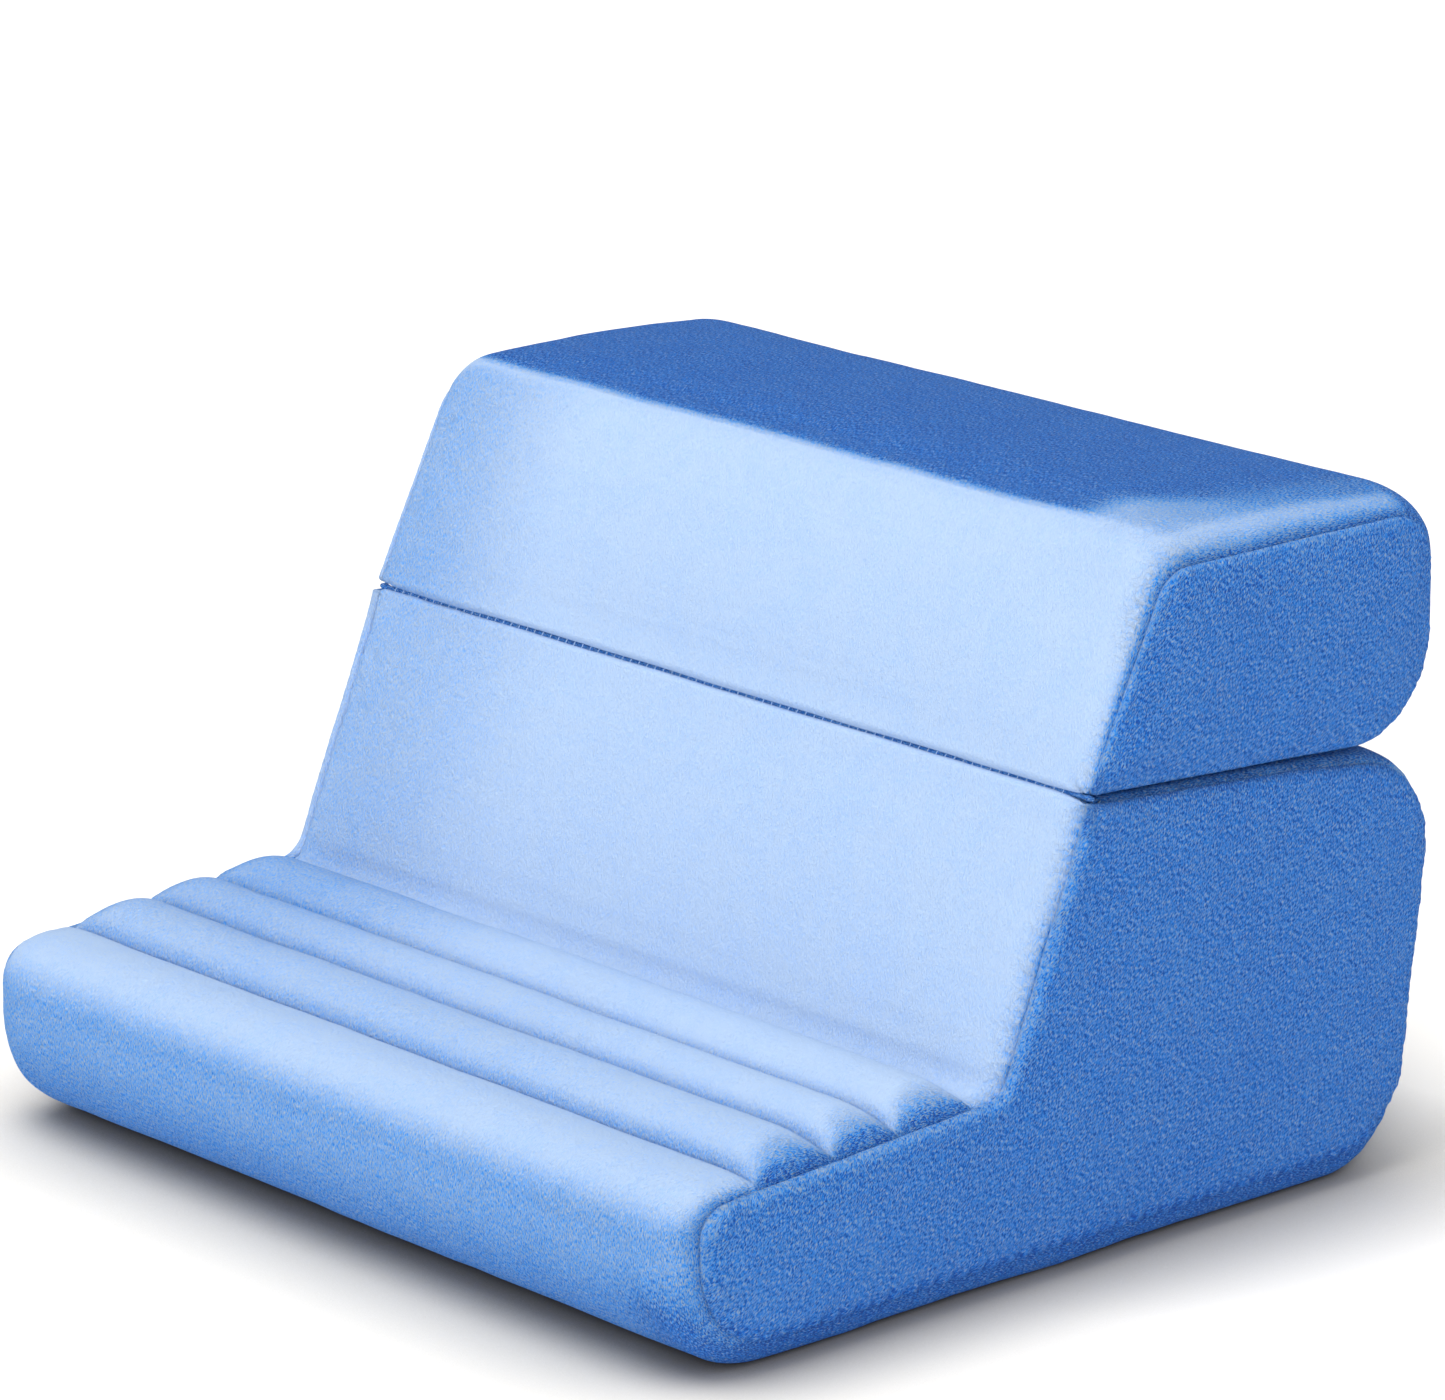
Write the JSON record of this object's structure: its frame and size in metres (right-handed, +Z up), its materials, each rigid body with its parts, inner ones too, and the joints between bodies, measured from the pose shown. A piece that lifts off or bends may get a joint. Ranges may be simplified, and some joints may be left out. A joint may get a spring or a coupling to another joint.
{
  "type": "tablet cushion stand",
  "caption": "Soft foam stand in short-pile plush: a base with a front roll, ribbed tray and sloping face, and a top block that folds forward on a sewn hinge.",
  "frame": {"origin": "middle of the underside, in the plane that it rests on", "axes": "+X along the width, to the right seen from the front roll; +Y from the front roll to the rear; +Z up"},
  "size_m": [0.2882, 0.267, 0.1877],
  "materials": {
    "base_band_plush": "short-pile plush, light sky blue, soft sheen",
    "base_panel_plush": "short-pile plush, mid blue, mottled nap",
    "top_band_plush": "short-pile plush, light sky blue, soft sheen",
    "top_panel_plush": "short-pile plush, mid blue, mottled nap",
    "foam": "open-cell upholstery foam, matt cream",
    "wadding": "polyester wadding, matt white",
    "seam_thread": "sewing thread, matt blue"
  },
  "bodies": {
    "base_block": {"base_foam_core": "foam", "base_cover_band": "base_band_plush", "base_side_panel_left": "base_panel_plush", "base_side_panel_right": "base_panel_plush", "rib_filling_front": "wadding", "rib_filling_middle": "wadding", "rib_filling_rear": "wadding", "hinge_seam": "seam_thread"},
    "top_block": {"top_foam_core": "foam", "top_cover_band": "top_band_plush", "top_side_panel_left": "top_panel_plush", "top_side_panel_right": "top_panel_plush"}
  },
  "joints": [
    {"name": "top_fold", "type": "hinge", "parent": "base_block", "child": "top_block", "pos_m": [0, 0.00433, 0.12534], "axis": [1, 0, 0], "range_deg": [0, 167]}
  ]
}
